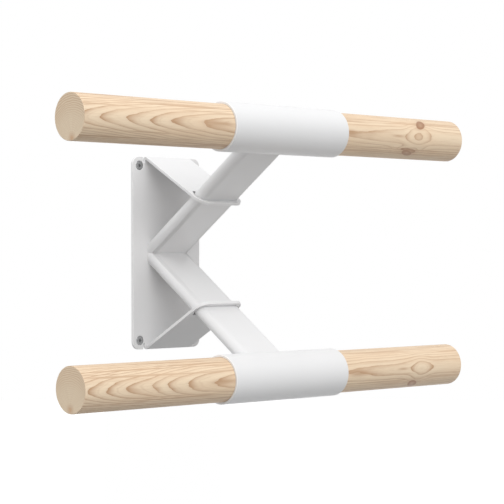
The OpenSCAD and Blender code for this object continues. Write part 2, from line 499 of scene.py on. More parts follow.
def cut_cross(screw, foot_radius, mouth_radius, height, tilt, widening):
    """Cuts the cross recess of a screw's head with two long tapered tools."""
    for turn in (0, math.pi / 2):
        bpy.ops.mesh.primitive_cone_add(
            vertices=4, radius1=foot_radius, radius2=mouth_radius, depth=0.0022,
            location=(0, 0, height), rotation=(tilt, 0, math.pi / 4),
        )
        tool = bpy.context.active_object
        bpy.ops.object.transform_apply(location=False, rotation=True, scale=False)
        tool.scale = (widening, 1.0, 1.0)
        tool.rotation_euler = (0, 0, turn)
        fix_place(tool)
        cut_with(screw, tool)


def lay_screw(screw, place):
    """Shades a turned screw and lays it down in its place, with its axis into the wall."""
    make_active(screw)
    bpy.ops.object.shade_smooth_by_angle(angle=math.radians(35))
    screw.rotation_euler = (-math.pi / 2, 0, 0)
    screw.location = place
    fix_place(screw)
    mark_edges(screw)


def seat(piece, material, node):
    """Gives a finished piece its finish, and its place in the frame."""
    piece.data.materials.clear()
    piece.data.materials.append(material)
    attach(piece, "root")
    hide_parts(node)


def seat_screws(screw, node, copies):
    """Seats a screw, and a copy for each name, CAD node and step away from the first."""
    seat(screw, zinc_material(), node)
    for name, node_of_copy, step in copies:
        seat(move_copy(screw, name, step), zinc_material(), node_of_copy)


# Materials


def add_node(tree, kind, **settings):
    node = tree.nodes.new("ShaderNode" + kind)
    for key, value in settings.items():
        setattr(node, key, value)
    return node


def join(tree, source, target):
    tree.links.new(source, target)


def feed(tree, terms, sockets):
    """Feeds each socket from another socket or with a plain value. None leaves it alone."""
    for term, socket in zip(terms, sockets):
        if isinstance(term, bpy.types.NodeSocket):
            join(tree, term, socket)
        elif term is not None:
            socket.default_value = term


def calc(tree, operation, *terms):
    """One Math node. Each term is a socket or a number."""
    node = add_node(tree, "Math", operation=operation)
    feed(tree, terms, node.inputs)
    return node.outputs[0]


def times(tree, first, second):
    return calc(tree, "MULTIPLY", first, second)


def times_plus(tree, first, second, third):
    return calc(tree, "MULTIPLY_ADD", first, second, third)


def vector_calc(tree, operation, *terms):
    """One Vector Math node. Each term is a socket or a vector."""
    node = add_node(tree, "VectorMath", operation=operation)
    feed(tree, terms, node.inputs)
    return node.outputs[1 if operation == "LENGTH" else 0]


def stretch(tree, place, factors):
    return vector_calc(tree, "MULTIPLY", place, factors)


def split(tree, vector):
    node = add_node(tree, "SeparateXYZ")
    join(tree, vector, node.inputs[0])
    return node.outputs


def combine(tree, *terms):
    node = add_node(tree, "CombineXYZ")
    feed(tree, terms, node.inputs)
    return node.outputs[0]


def blend(tree, factor, first, second):
    """One colour Mix node. The factor and each colour are a socket or a value."""
    node = add_node(tree, "Mix", data_type="RGBA")
    feed(tree, (factor, first, second), (node.inputs[0], node.inputs[6], node.inputs[7]))
    return node.outputs[2]


def ramp(tree, value, low, high, smooth=True):
    """Map Range from low..high to 0..1."""
    node = add_node(tree, "MapRange", interpolation_type="SMOOTHSTEP" if smooth else "LINEAR")
    feed(tree, (value, low, high), node.inputs)
    return node.outputs[0]


def noise(tree, place, scale, detail=2.0, roughness=0.5, dimensions="3D"):
    node = add_node(tree, "TexNoise", noise_dimensions=dimensions)
    join(tree, place, node.inputs["Vector" if dimensions != "1D" else "W"])
    names = ("Scale", "Detail", "Roughness")
    feed(tree, (scale, detail, roughness), [node.inputs[name] for name in names])
    return node.outputs[0]


def place_in_mm(tree, middle=(0, 0, 0)):
    """The place on a piece in mm from a point given in metres, and the way the surface faces."""
    given = add_node(tree, "TexCoord")
    scaled = add_node(tree, "Mapping")
    scaled.inputs["Location"].default_value = [-1000 * part for part in middle]
    scaled.inputs["Scale"].default_value = (1000, 1000, 1000)
    join(tree, given.outputs["Object"], scaled.inputs["Vector"])
    return scaled.outputs[0], given.outputs["Normal"]


def new_group(name, inputs, outputs):
    """A shader node group. Inputs are (name, kind, default), outputs (name, kind)."""
    tree = bpy.data.node_groups.new(name, "ShaderNodeTree")
    for label, kind, default in inputs:
        socket = tree.interface.new_socket(name=label, in_out="INPUT", socket_type="NodeSocket" + kind)
        if default is not None:
            socket.default_value = default
    for label, kind in outputs:
        tree.interface.new_socket(name=label, in_out="OUTPUT", socket_type="NodeSocket" + kind)
    source = tree.nodes.new("NodeGroupInput")
    target = tree.nodes.new("NodeGroupOutput")
    return tree, source.outputs, target.inputs


def use_group(tree, group, **values):
    """Places a group. Underscores in the value names stand for spaces."""
    node = add_node(tree, "Group", node_tree=group)
    feed(tree, values.values(), [node.inputs[key.replace("_", " ")] for key in values])
    return node.outputs


def empty_material(name):
    material = bpy.data.materials.new(name)
    material.use_nodes = True
    material.node_tree.nodes.clear()
    return material, material.node_tree


def new_material(name, roughness, metallic=0.0, bump=0.0002):
    """A Principled material with a Bump node. The bump's distance is in metres."""
    material, tree = empty_material(name)
    shader = add_node(tree, "BsdfPrincipled")
    shader.inputs["Roughness"].default_value = roughness
    shader.inputs["Metallic"].default_value = metallic
    output = add_node(tree, "OutputMaterial")
    join(tree, shader.outputs[0], output.inputs[0])
    relief = add_node(tree, "Bump")
    relief.inputs["Distance"].default_value = bump
    join(tree, relief.outputs[0], shader.inputs["Normal"])
    return material, tree, shader, relief


def oval_group():
    """A soft oval on the front of a bar, for knots and the grain that bends round them."""
    if "Oval on a bar" in bpy.data.node_groups:
        return bpy.data.node_groups["Oval on a bar"]
    tree, given, result = new_group(
        "Oval on a bar",
        (
            ("Place", "Vector", None), ("Along", "Float", 0.0), ("Height", "Float", 0.0),
            ("Half Length", "Float", 5.0), ("Half Height", "Float", 4.0), ("Lean", "Float", 0.0),
        ),
        (("Falloff", "Float"), ("Core", "Float"), ("Distance", "Float")),
    )
    x, y, z = split(tree, given["Place"])
    above = calc(tree, "SUBTRACT", z, given["Height"])
    middle = times_plus(tree, above, given["Lean"], given["Along"])
    across = calc(tree, "DIVIDE", calc(tree, "SUBTRACT", x, middle), given["Half Length"])
    up = calc(tree, "DIVIDE", above, given["Half Height"])
    square = calc(tree, "ADD", times(tree, across, across), times(tree, up, up))
    front = ramp(tree, y, 0.5, -0.5)
    falloff = calc(tree, "EXPONENT", times(tree, square, -1.0))
    join(tree, times(tree, falloff, front), result["Falloff"])
    distance = calc(tree, "SQRT", square)
    join(tree, distance, result["Distance"])
    join(tree, times(tree, ramp(tree, distance, 1.08, 0.82), front), result["Core"])
    return tree


def place_oval(tree, spot, along, height, half_length, half_height, lean=0.0):
    return use_group(
        tree, oval_group(), Place=spot, Along=along, Height=height,
        Half_Length=half_length, Half_Height=half_height, Lean=lean,
    )


def growth_lines(tree, given, shifted, long_grain, wander):
    """How much late wood shows on the long side: rings, second lines and close parallel lines."""
    _, y, z = split(tree, given["Place"])
    off_middle = calc(tree, "ABSOLUTE", z)
    ripple = noise(tree, stretch(tree, shifted, (0.09, 0.5, 0.5)), 1.0)
    ripple = calc(tree, "SUBTRACT", ripple, 0.5)
    # Rings are nearly flat layers that face the room; depth is measured towards the room
    depth = calc(tree, "SUBTRACT", times(tree, y, -1.0), BAR_RADIUS_MM)
    phase = calc(tree, "ADD", calc(tree, "DIVIDE", depth, given["Ring Width"]), given["Ring Count"])
    phase = times_plus(tree, wander, 0.9, phase)
    phase = times_plus(tree, ripple, 0.13, phase)
    inside = calc(tree, "FRACT", phase)
    chance = add_node(tree, "TexWhiteNoise", noise_dimensions="1D")
    join(tree, calc(tree, "ADD", calc(tree, "FLOOR", phase), given["Seed"]), chance.inputs["W"])
    year = chance.outputs[0]
    # A growth line is sharp on its outer side, and its brown fades inwards
    line = times(tree, calc(tree, "EXPONENT", times(tree, inside, -11.0)), LINE_DEPTH)
    # The brown is deeper at the tips, where the saw ran along a ring
    tips = times(tree, ramp(tree, off_middle, 6.5, 1.0), TIP_DEPTH)
    brown = calc(tree, "ADD", times_plus(tree, year, 0.36, 0.26), tips)
    fade = times(tree, ramp(tree, inside, 0.60, 0.02), brown)
    late = times(tree, calc(tree, "ADD", line, fade), ramp(tree, inside, 0.0, 0.03))
    late = calc(tree, "MAXIMUM", late, times(tree, ramp(tree, inside, 0.86, 1.0), 0.15))
    # A dry spell leaves a faint second line in most years
    from_spell = calc(tree, "SUBTRACT", inside, times_plus(tree, year, 0.2, 0.42))
    spell = calc(tree, "DIVIDE", from_spell, 0.055)
    spell = calc(tree, "EXPONENT", times(tree, times(tree, spell, spell), -1.0))
    late = times_plus(tree, spell, times(tree, year, DRY_SPELL_DEPTH), late)
    patchy = ramp(tree, noise(tree, long_grain, 2.3), 0.25, 0.75)
    late = times(tree, late, times_plus(tree, patchy, 0.35, 0.75))
    # Towards the top and bottom the rings are cut steeply and show as close parallel lines
    steep = ramp(tree, off_middle, 5.0, 12.0)
    close = noise(tree, stretch(tree, shifted, (0.008, 0.62, 0.62)), 1.0, 1.0, 0.4)
    close = times(tree, ramp(tree, close, 0.50, 0.62), times(tree, steep, CLOSE_LINE_DEPTH))
    return times(tree, calc(tree, "MAXIMUM", late, close), given["Line Strength"])


def sawn_end(tree, given, wander):
    """Colour and relief of a sawn end: rings about the heart, and fine rays from it."""
    from_heart = vector_calc(tree, "SUBTRACT", given["Place"], given["Heart"])
    _, y, z = split(tree, from_heart)
    radius = vector_calc(tree, "LENGTH", combine(tree, None, y, z))
    ring_place = times_plus(tree, wander, 3.0, radius)
    inside = calc(tree, "FRACT", calc(tree, "DIVIDE", ring_place, END_RING_WIDTH_MM))
    late = times(tree, ramp(tree, inside, 0.75, 0.15), ramp(tree, inside, 0.0, 0.15))
    # The rings stand out where they are tight, far from the heart, and the rays near it
    tight = times_plus(tree, ramp(tree, radius, 16.0, 32.0), 0.52, 0.14)
    turn = calc(tree, "ARCTAN2", y, z)
    rays = noise(tree, times(tree, turn, 9.0), 1.0, 1.0, dimensions="1D")
    rays = times(tree, ramp(tree, rays, 0.48, 0.62), ramp(tree, radius, 26.0, 8.0))
    pores = noise(tree, given["Place"], 2.2, 2.0, 0.6)
    colour = blend(tree, times(tree, late, tight), given["End Wood"], given["Late Wood"])
    colour = blend(tree, times(tree, rays, 0.22), colour, RAY_WOOD)
    pitted = times(tree, ramp(tree, pores, 0.5, 0.75), 0.16)
    colour = blend(tree, pitted, colour, given["Late Wood"])
    near_heart = times(tree, ramp(tree, radius, 6.5, 2.0), 0.42)
    colour = blend(tree, near_heart, colour, given["Late Wood"])
    colour = blend(tree, times(tree, ramp(tree, radius, 2.6, 1.1), 0.42), colour, HEART_WOOD)
    return colour, times_plus(tree, pores, 0.8, late)


def pine_group():
    """Growth rings, fibres and sawn ends of planed pine. Places are in mm from the bar's middle."""
    if "Pine grain" in bpy.data.node_groups:
        return bpy.data.node_groups["Pine grain"]
    tree, given, result = new_group(
        "Pine grain",
        (
            ("Place", "Vector", None), ("Facing", "Vector", None), ("Ring Count", "Float", 0.0),
            ("Ring Width", "Float", 1.7), ("Seed", "Float", 0.0), ("Knots", "Float", 0.0),
            ("Streaks", "Float", 0.0), ("Heart", "Vector", None),
            ("Line Strength", "Float", 1.0),
            ("Early Wood", "Color", (0.8, 0.6, 0.4, 1)), ("Late Wood", "Color", (0.5, 0.3, 0.2, 1)),
            ("Knot Wood", "Color", (0.4, 0.2, 0.1, 1)), ("End Wood", "Color", (0.7, 0.5, 0.4, 1)),
        ),
        (("Color", "Color"), ("Roughness", "Float"), ("Height", "Float")),
    )
    early_wood, late_wood, knot_wood = given["Early Wood"], given["Late Wood"], given["Knot Wood"]
    seeded = combine(tree, given["Seed"], None, given["Seed"])
    shifted = vector_calc(tree, "ADD", given["Place"], seeded)
    # The grain runs along the bar, so the patterns are stretched that way
    long_grain = stretch(tree, shifted, (0.02, 0.11, 0.11))
    fibre = stretch(tree, shifted, (0.03, 1.0, 1.0))
    wander = calc(tree, "SUBTRACT", noise(tree, long_grain, 1.0, 2.0, 0.45), 0.5)
    late = growth_lines(tree, given, shifted, long_grain, wander)
    side = blend(tree, late, early_wood, late_wood)
    warm = ramp(tree, noise(tree, long_grain, 0.8, 1.0), 0.35, 0.75)
    side = blend(tree, times(tree, warm, 0.28), side, WARM_WOOD)
    fine = noise(tree, fibre, 1.6, 3.0, 0.6)
    side = blend(tree, times(tree, ramp(tree, fine, 0.45, 0.75), FIBRE_DEPTH), side, late_wood)
    canals = noise(tree, stretch(tree, shifted, (0.22, 3.2, 3.2)), 1.0, 1.0)
    canals = ramp(tree, canals, 0.68, 0.76)
    side = blend(tree, times(tree, canals, 0.22), side, knot_wood)
    side = blend(tree, times(tree, given["Streaks"], STREAK_DEPTH), side, late_wood)
    side = blend(tree, given["Knots"], side, knot_wood)
    end, end_height = sawn_end(tree, given, wander)
    along = split(tree, given["Facing"])[0]
    on_end = ramp(tree, calc(tree, "ABSOLUTE", along), 0.75, 0.95)
    join(tree, blend(tree, on_end, side, end), result["Color"])
    rough = times_plus(tree, late, -0.08, 0.5)
    rough = times_plus(tree, fine, 0.1, rough)
    rough = times_plus(tree, on_end, 0.2, rough)
    join(tree, times_plus(tree, given["Knots"], -0.12, rough), result["Roughness"])
    height = times_plus(tree, late, 0.35, times(tree, fine, 0.5))
    height = times_plus(tree, canals, -0.3, height)
    mixed = add_node(tree, "Mix", data_type="FLOAT")
    feed(tree, (on_end, None, height, end_height), mixed.inputs)
    join(tree, mixed.outputs[0], result["Height"])
    return tree


def count_rings(tree, along, ring_tips):
    """The number of rings that have reached the front of a bar, from one tip to the next."""
    count = add_node(tree, "FloatCurve")
    reach = ramp(tree, along, CURVE_START_MM, CURVE_END_MM, smooth=False)
    join(tree, reach, count.inputs["Value"])
    curve = count.mapping.curves[0]
    last = len(ring_tips)
    places = [(tip - CURVE_START_MM) / (CURVE_END_MM - CURVE_START_MM) for tip in ring_tips]
    curve.points[0].location = (places[0], 1 / last)
    curve.points[1].location = (places[-1], 1.0)
    for number, place in enumerate(places[1:-1], start=2):
        curve.points.new(place, number / last)
    for point in curve.points:
        point.handle_type = "AUTO_CLAMPED"
    count.mapping.update()
    return times(tree, count.outputs[0], float(last))


def pine_material(name, bar_z, ring_tips, knots, eyes, streaks, heart, seed):
    finish = bpy.context.scene.barre_finish
    material, tree, shader, relief = new_material(name, 0.55, bump=0.00006)
    spot, facing = place_in_mm(tree, (0, BAR_Y, bar_z))
    along = split(tree, spot)[0]
    rings = count_rings(tree, along, ring_tips)
    for x, height, half_length, half_height, raised in eyes:
        eye = place_oval(tree, spot, x, height, half_length, half_height)
        rings = times_plus(tree, eye["Falloff"], raised, rings)
    dark = 0.0
    for x, height, half_length, half_height, lean, strength in knots:
        bend = place_oval(tree, spot, x, height, half_length * 2.6, half_height * 1.6)
        rings = times_plus(tree, bend["Falloff"], 1.3, rings)
        knot = place_oval(tree, spot, x, height, half_length, half_height, lean)
        # A knot is darkest at its rim, and stains the wood round it
        shade = times(tree, knot["Core"], ramp(tree, knot["Distance"], -1.4, 1.0))
        shade = calc(tree, "MAXIMUM", shade, times(tree, knot["Falloff"], 0.45))
        dark = calc(tree, "MAXIMUM", dark, times(tree, shade, strength))
    brown = 0.0
    for x, height, half_length, half_height in streaks:
        streak = place_oval(tree, spot, x, height, half_length, half_height)
        brown = calc(tree, "MAXIMUM", brown, streak["Falloff"])
    # The grain is a little fainter to the right of the sleeve
    strength = times_plus(tree, ramp(tree, along, 20.0, 110.0), -0.14, 1.0)
    grain = use_group(
        tree, pine_group(), Line_Strength=strength, Place=spot, Facing=facing, Ring_Count=rings,
        Ring_Width=finish.ring_width_mm, Seed=seed, Knots=dark, Streaks=brown, Heart=heart,
        Early_Wood=finish.early_wood, Late_Wood=finish.late_wood,
        Knot_Wood=finish.knot_wood, End_Wood=finish.end_wood,
    )
    join(tree, grain["Color"], shader.inputs["Base Color"])
    join(tree, grain["Roughness"], shader.inputs["Roughness"])
    join(tree, grain["Height"], relief.inputs["Height"])
    return material


def edge_wear_and_highlight_group():
    """Wear along the rounded edges of a piece, broken up by noise. On the coating it is mostly a
    painted highlight on the edges.
    """
    if "Edge wear and highlight" in bpy.data.node_groups:
        return bpy.data.node_groups["Edge wear and highlight"]
    tree, given, result = new_group(
        "Edge wear and highlight",
        (("Place", "Vector", None), ("Patch Size", "Float", 8.0), ("Amount", "Float", 0.5)),
        (("Wear and Highlight", "Float"),),
    )
    rounded = add_node(tree, "Attribute", attribute_name="rounded_edge")
    fineness = calc(tree, "DIVIDE", 1.0, given["Patch Size"])
    patches = ramp(tree, noise(tree, given["Place"], fineness, 3.0, 0.6), 0.3, 0.7)
    wear_and_highlight = times(tree, rounded.outputs["Fac"], times_plus(tree, patches, 0.7, 0.3))
    join(tree, times(tree, wear_and_highlight, given["Amount"]), result["Wear and Highlight"])
    return tree


def painted_slot_shade(tree, spot):
    """Painted shade: small dark spots beside the arms, at the open ends of the gaps in the slots,
    where the gaps lie in shade.
    """
    x, y, z = split(tree, spot)
    mirrored = combine(tree, calc(tree, "ABSOLUTE", x), y, calc(tree, "ABSOLUTE", z))
    away = vector_calc(tree, "LENGTH", vector_calc(tree, "SUBTRACT", mirrored, SLOT_SHADE_SPOT_MM))
    return ramp(tree, away, SLOT_SHADE_SPOT_RADIUS_MM * 1.4, SLOT_SHADE_SPOT_RADIUS_MM * 0.7)


def coat_material():
    """Satin white powder coating with a fine orange-peel skin."""
    name = "White_powder_coat"
    if name in bpy.data.materials:
        return bpy.data.materials[name]
    finish = bpy.context.scene.barre_finish
    material, tree, shader, relief = new_material(name, finish.coat_roughness, bump=0.00004)
    spot, _ = place_in_mm(tree)
    wear_and_highlight = use_group(tree, edge_wear_and_highlight_group(), Place=spot, Patch_Size=9.0, Amount=0.8)["Wear and Highlight"]
    cloud = ramp(tree, noise(tree, spot, 0.03), 0.3, 0.7)
    colour = blend(tree, times(tree, cloud, 0.5), finish.coat, CLOUDY_COAT)
    # Rounded edges lighter: painted highlight, with some rubbed coating
    colour = blend(tree, wear_and_highlight, colour, finish.coat_edge_highlight)
    speck = ramp(tree, noise(tree, spot, 0.9, 1.0, 0.4), 0.76, 0.8)
    colour = blend(tree, times(tree, speck, 0.05), colour, SPECK_GREY)
    # Painted shade at the open ends of the slots' gaps
    colour = blend(tree, painted_slot_shade(tree, spot), colour, PAINTED_GAP_SHADE)
    join(tree, colour, shader.inputs["Base Color"])
    peel = noise(tree, spot, 0.55, 2.0, 0.45)
    skin = noise(tree, spot, 2.6)
    rough = times_plus(tree, skin, 0.14, finish.coat_roughness - 0.07)
    rough = times_plus(tree, wear_and_highlight, -0.1, rough)
    join(tree, rough, shader.inputs["Roughness"])
    join(tree, calc(tree, "ADD", peel, times(tree, skin, 0.3)), relief.inputs["Height"])
    return material


def zinc_material():
    """Dull zinc plate with faint turning marks and a patchy bloom."""
    name = "Dull_zinc"
    if name in bpy.data.materials:
        return bpy.data.materials[name]
    finish = bpy.context.scene.barre_finish
    material, tree, shader, relief = new_material(name, 0.42, metallic=0.85, bump=0.00003)
    spot, _ = place_in_mm(tree)
    wear_and_highlight = use_group(tree, edge_wear_and_highlight_group(), Place=spot, Patch_Size=1.5, Amount=0.7)["Wear and Highlight"]
    bloom = ramp(tree, noise(tree, spot, 0.7, 3.0, 0.6), 0.35, 0.7)
    colour = blend(tree, bloom, finish.zinc, BLOOMED_ZINC)
    colour = blend(tree, wear_and_highlight, colour, RUBBED_ZINC)
    join(tree, colour, shader.inputs["Base Color"])
    marks = noise(tree, stretch(tree, spot, (1.0, 6.0, 1.0)), 1.2)
    join(tree, times_plus(tree, bloom, 0.2, 0.34), shader.inputs["Roughness"])
    join(tree, marks, relief.inputs["Height"])
    return material


def seen_directly(tree):
    """One for the camera, reflections and glass, and nought for the light on the object."""
    path = add_node(tree, "LightPath")
    seen = calc(tree, "MAXIMUM", path.outputs["Is Camera Ray"], path.outputs["Is Glossy Ray"])
    return calc(tree, "MAXIMUM", seen, path.outputs["Is Transmission Ray"])


def mix_shaders(tree, factor, first, second, output):
    """Joins a mix of two shaders to the output node."""
    mix = add_node(tree, "MixShader")
    feed(tree, (factor, first, second), mix.inputs)
    join(tree, mix.outputs[0], output.inputs[0])


def one_sided(tree, surface):
    """Shows a backdrop's surface to direct views of its front, and lets all light through."""
    side = add_node(tree, "NewGeometry")
    front = calc(tree, "SUBTRACT", 1.0, side.outputs["Backfacing"])
    seen = times(tree, seen_directly(tree), front)
    clear = add_node(tree, "BsdfTransparent")
    mix_shaders(tree, seen, clear.outputs[0], surface, add_node(tree, "OutputMaterial"))


# One operator for each piece or group of like pieces


class BARRE_OT_wooden_bars(bpy.types.Operator):
    """Turns the two round pine bars and eases their ends"""

    bl_idname = "barre.wooden_bars"
    bl_label = "Wooden bars"

    def execute(self, context):
        sizes = context.scene.barre_sizes
        start_clean()
        add_rod(BAR_RADIUS, BAR_HIGH.x - BAR_LOW.x)
        upper = name_piece("Upper_bar_wood")
        fix_place(upper)
        soften(upper, sizes.bar_edge)
        edit()
        # The saw leaves each end very slightly hollow
        pick(lambda middle, facing: abs(facing.x) > ALONG_AXIS)
        bpy.ops.mesh.inset(thickness=sizes.bar_edge * 4, depth=0)
        bpy.ops.mesh.inset(thickness=sizes.bar_edge * 8, depth=-0.00006)
        leave_edit()
        mark_edges(upper)
        keep_flats_flat(upper)
        lower = move_copy(upper, "Lower_bar_wood", (0, 0, -2 * BAR_Z))
        wood = pine_material(
            "Upper_bar_pine", BAR_Z, UPPER_RING_TIPS, UPPER_KNOTS,
            UPPER_EYES, UPPER_STREAKS, UPPER_HEART, seed=31.0,
        )
        seat(upper, wood, "upper_bar")
        wood = pine_material(
            "Lower_bar_pine", -BAR_Z, LOWER_RING_TIPS, LOWER_KNOTS,
            LOWER_EYES, LOWER_STREAKS, LOWER_HEART, seed=74.0,
        )
        seat(lower, wood, "lower_bar")
        return {"FINISHED"}


class BARRE_OT_sleeves(bpy.types.Operator):
    """Makes the two tube sleeves that hold the bars, with rounded rims"""

    bl_idname = "barre.sleeves"
    bl_label = "Sleeves"

    def execute(self, context):
        sizes = context.scene.barre_sizes
        half = (SLEEVE_HIGH.x - SLEEVE_LOW.x) / 2
        start_clean()
        add_rod(SLEEVE_RADIUS, 2 * half)
        upper = name_piece("Upper_sleeve_tube")
        fix_place(upper)
        edit()
        pick(lambda middle, facing: abs(facing.x) > ALONG_AXIS)
        bpy.ops.mesh.inset(thickness=sizes.sleeve_wall)
        bpy.ops.mesh.delete(type="ONLY_FACE")
        bore = SLEEVE_RADIUS - sizes.sleeve_wall

        def round_the_bore(middle, along):
            """Edges that run round the mouths of the bore."""
            out = Vector((0, middle.y - BAR_Y, middle.z - BAR_Z))
            at_end = abs(abs(middle.x) - half) < 1e-6
            on_bore = bore * 0.99 < out.length < bore + 1e-5
            round_it = abs(along.x) < 0.1 and abs(along.dot(out.normalized())) < 0.1
            return at_end and on_bore and round_it

        pick(round_the_bore, "EDGE")
        bpy.ops.mesh.bridge_edge_loops()
        merge_doubles()
        face_outwards()
        # The bore opens out a little at each end
        pick(round_the_bore, "EDGE")
        bpy.ops.mesh.bevel(offset=sizes.sleeve_mouth, segments=2, affect="EDGES", clamp_overlap=False)
        leave_edit()
        soften(upper, sizes.sleeve_edge)
        mark_edges(upper)
        keep_flats_flat(upper)
        lower = move_copy(upper, "Lower_sleeve_tube", (0, 0, -2 * BAR_Z))
        seat(upper, coat_material(), "upper_sleeve")
        seat(lower, coat_material(), "lower_sleeve")
        return {"FINISHED"}


class BARRE_OT_arms(bpy.types.Operator):
    """Makes the two oval arms, mitred on the bracket and coped round the sleeves"""

    bl_idname = "barre.arms"
    bl_label = "Arms"

    def execute(self, context):
        sizes = context.scene.barre_sizes
        root = Vector((0, ARM_HIGH.y, sizes.arm_root))
        tip = Vector((0, BAR_Y, BAR_Z))
        slope = math.atan2(tip.z - root.z, root.y - tip.y)
        # The blank runs past the root, so that both cuts take wood off all round
        past = sizes.arm_thickness
        length = (tip - root).length + past
        middle = root + (tip - root).normalized() * (length / 2 - past)
        start_clean()
        bpy.ops.mesh.primitive_cube_add(size=1, location=middle, rotation=(math.pi / 2 - slope, 0, 0))
        upper = name_piece("Upper_arm_tube")
        upper.scale = (sizes.arm_width, sizes.arm_thickness, length)
        bpy.ops.object.transform_apply(location=False, rotation=False, scale=True)
        edit()
        pick(lambda middle, along: abs(along.z) > ALONG_AXIS, "EDGE")
        bpy.ops.mesh.bevel(
            offset=sizes.arm_thickness / 2, segments=24, affect="EDGES", clamp_overlap=True
        )
        merge_doubles()
        face_outwards()
        leave_edit()
        fix_place(upper)
        edit()
        for point, direction in (((0, 0, 0), (0, 0, -1)), (root, (0, 1, 0))):
            bpy.ops.mesh.select_all(action="SELECT")
            bpy.ops.mesh.bisect(plane_co=point, plane_no=direction, use_fill=True, clear_outer=True)
        merge_doubles()
        face_outwards()
        leave_edit()
        add_rod(SLEEVE_RADIUS - COPE_OVERLAP, 0.1)
        cut_with(upper, bpy.context.active_object)
        mark_edges(upper)
        keep_flats_flat(upper)
        lower = mirror_copy_down(upper, "Lower_arm_tube")
        keep_flats_flat(lower)
        seat(upper, coat_material(), "upper_arm")
        seat(lower, coat_material(), "lower_arm")
        return {"FINISHED"}


class BARRE_OT_wall_bracket(bpy.types.Operator):
    """Gives the folded bracket the rounded, coated edges of real sheet"""

    bl_idname = "barre.wall_bracket"
    bl_label = "Wall bracket"

    def execute(self, context):
        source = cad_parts["wall_bracket"]
        bracket = bpy.data.objects.new("Folded_bracket", source.data.copy())
        bpy.context.scene.collection.objects.link(bracket)
        make_active(bracket)
        edit()
        merge_doubles()
        bpy.ops.mesh.dissolve_limited(angle_limit=math.radians(0.5))
        leave_edit()
        add_edge_slot(bracket)
        edit()
        self.pick_sharp_edges(bracket)
        bpy.ops.mesh.bevel(
            offset=context.scene.barre_sizes.sheet_edge, segments=EDGE_STEPS, affect="EDGES",
            clamp_overlap=False, loop_slide=False, material=1,
        )
        leave_edit()
        mark_edges(bracket)
        keep_flats_flat(bracket)
        # The large faces have many corners, so they are split into even triangles here
        split_faces = bracket.modifiers.new("Even triangles", "TRIANGULATE")
        split_faces.min_vertices = 5
        split_faces.ngon_method = "BEAUTY"
        bpy.ops.object.modifier_apply(modifier=split_faces.name)
        seat(bracket, coat_material(), "wall_bracket")
        return {"FINISHED"}

    def pick_sharp_edges(self, bracket):
        """Selects the sharp edges. Inside the screw holes only the mouth in front is rounded."""
        bpy.ops.mesh.select_mode(type="EDGE")
        bpy.ops.mesh.select_all(action="DESELECT")
        bpy.ops.mesh.edges_select_sharp(sharpness=math.radians(35))
        mesh = bmesh.from_edit_mesh(bracket.data)
        for line in mesh.edges:
            middle = (line.verts[0].co + line.verts[1].co) / 2
            from_screw = math.hypot(abs(middle.x) - abs(SCREW_X), abs(middle.z) - abs(SCREW_Z))
            if from_screw < HOLE_REACH and middle.y > PLATE_HIGH.y - HOLE_DEPTH:
                line.select_set(False)
        bmesh.update_edit_mesh(bracket.data)


class BARRE_OT_wall_screws(bpy.types.Operator):
    """Turns a countersunk wall screw, cuts its cross, threads it and copies it to the corners"""

    bl_idname = "barre.wall_screws"
    bl_label = "Wall screws"

    def execute(self, context):
        sizes = context.scene.barre_sizes
        head = sizes.head_diameter / 2
        shank = sizes.shank_diameter / 2
        core = shank * 0.72
        length = SCREW_HIGH.y - SCREW_LOW.y
        cone = PLATE_HIGH.y - SCREW_LOW.y
        rim = cone - (head - shank)
        thread_start = length - POINT_LENGTH - sizes.thread_pitch * sizes.thread_turns
        # Drawn with the head at z = 0 and the point at z = length
        draw_profile([
            (0, 0.00022), (head * 0.6, 0.00012), (head - 0.0003, 0.00002), (head, 0.0003),
            (head, rim), (shank, cone), (shank, thread_start), (core, thread_start + 0.0006),
            (core, length - 0.0055), (core * 0.55, length - 0.002), (0, length),
        ])
        turn_profile()
        screw = name_piece("Wall_screw_top_left")
        cut_cross(
            screw, foot_radius=0.0007, mouth_radius=0.00105, height=0.0007,
            tilt=math.pi, widening=2.7,
        )
        thread = self.wind_thread(sizes, core, shank, thread_start)
        make_active(screw)
        thread.select_set(True)
        bpy.ops.object.join()
        lay_screw(screw, (SCREW_X, SCREW_LOW.y, SCREW_Z))
        across = -2 * SCREW_X
        down = -2 * SCREW_Z
        seat_screws(screw, "wall_screw_top_left", (
            ("Wall_screw_top_right", "wall_screw_top_right", (across, 0, 0)),
            ("Wall_screw_bottom_left", "wall_screw_bottom_left", (0, 0, down)),
            ("Wall_screw_bottom_right", "wall_screw_bottom_right", (across, 0, down)),
        ))
        return {"FINISHED"}

    def wind_thread(self, sizes, core, shank, start):
        """Draws one ridge of thread and sweeps it up the shank."""
        pitch = sizes.thread_pitch
        foot = start - pitch * 0.2
        draw_profile([
            (core * 0.9, foot), (core, foot + pitch * 0.12), (shank, foot + pitch * 0.44),
            (shank, foot + pitch * 0.56), (core, foot + pitch * 0.88), (core * 0.9, foot + pitch),
        ])
        leave_edit()
        thread = name_piece("Thread")
        sweep = thread.modifiers.new("Sweep", "SCREW")
        sweep.axis = "Z"
        sweep.angle = math.tau
        sweep.screw_offset = pitch
        sweep.iterations = sizes.thread_turns
        sweep.steps = sweep.render_steps = 24
        sweep.use_merge_vertices = True
        bpy.ops.object.modifier_apply(modifier=sweep.name)
        edit()
        merge_doubles(1e-7)
        # The ridge's open foot is closed, so that the thread is a solid of its own
        bpy.ops.mesh.select_all(action="DESELECT")
        bpy.ops.mesh.select_mode(type="EDGE")
        bpy.ops.mesh.select_non_manifold()
        bpy.ops.mesh.edge_face_add()
        face_outwards()
        leave_edit()
        return thread


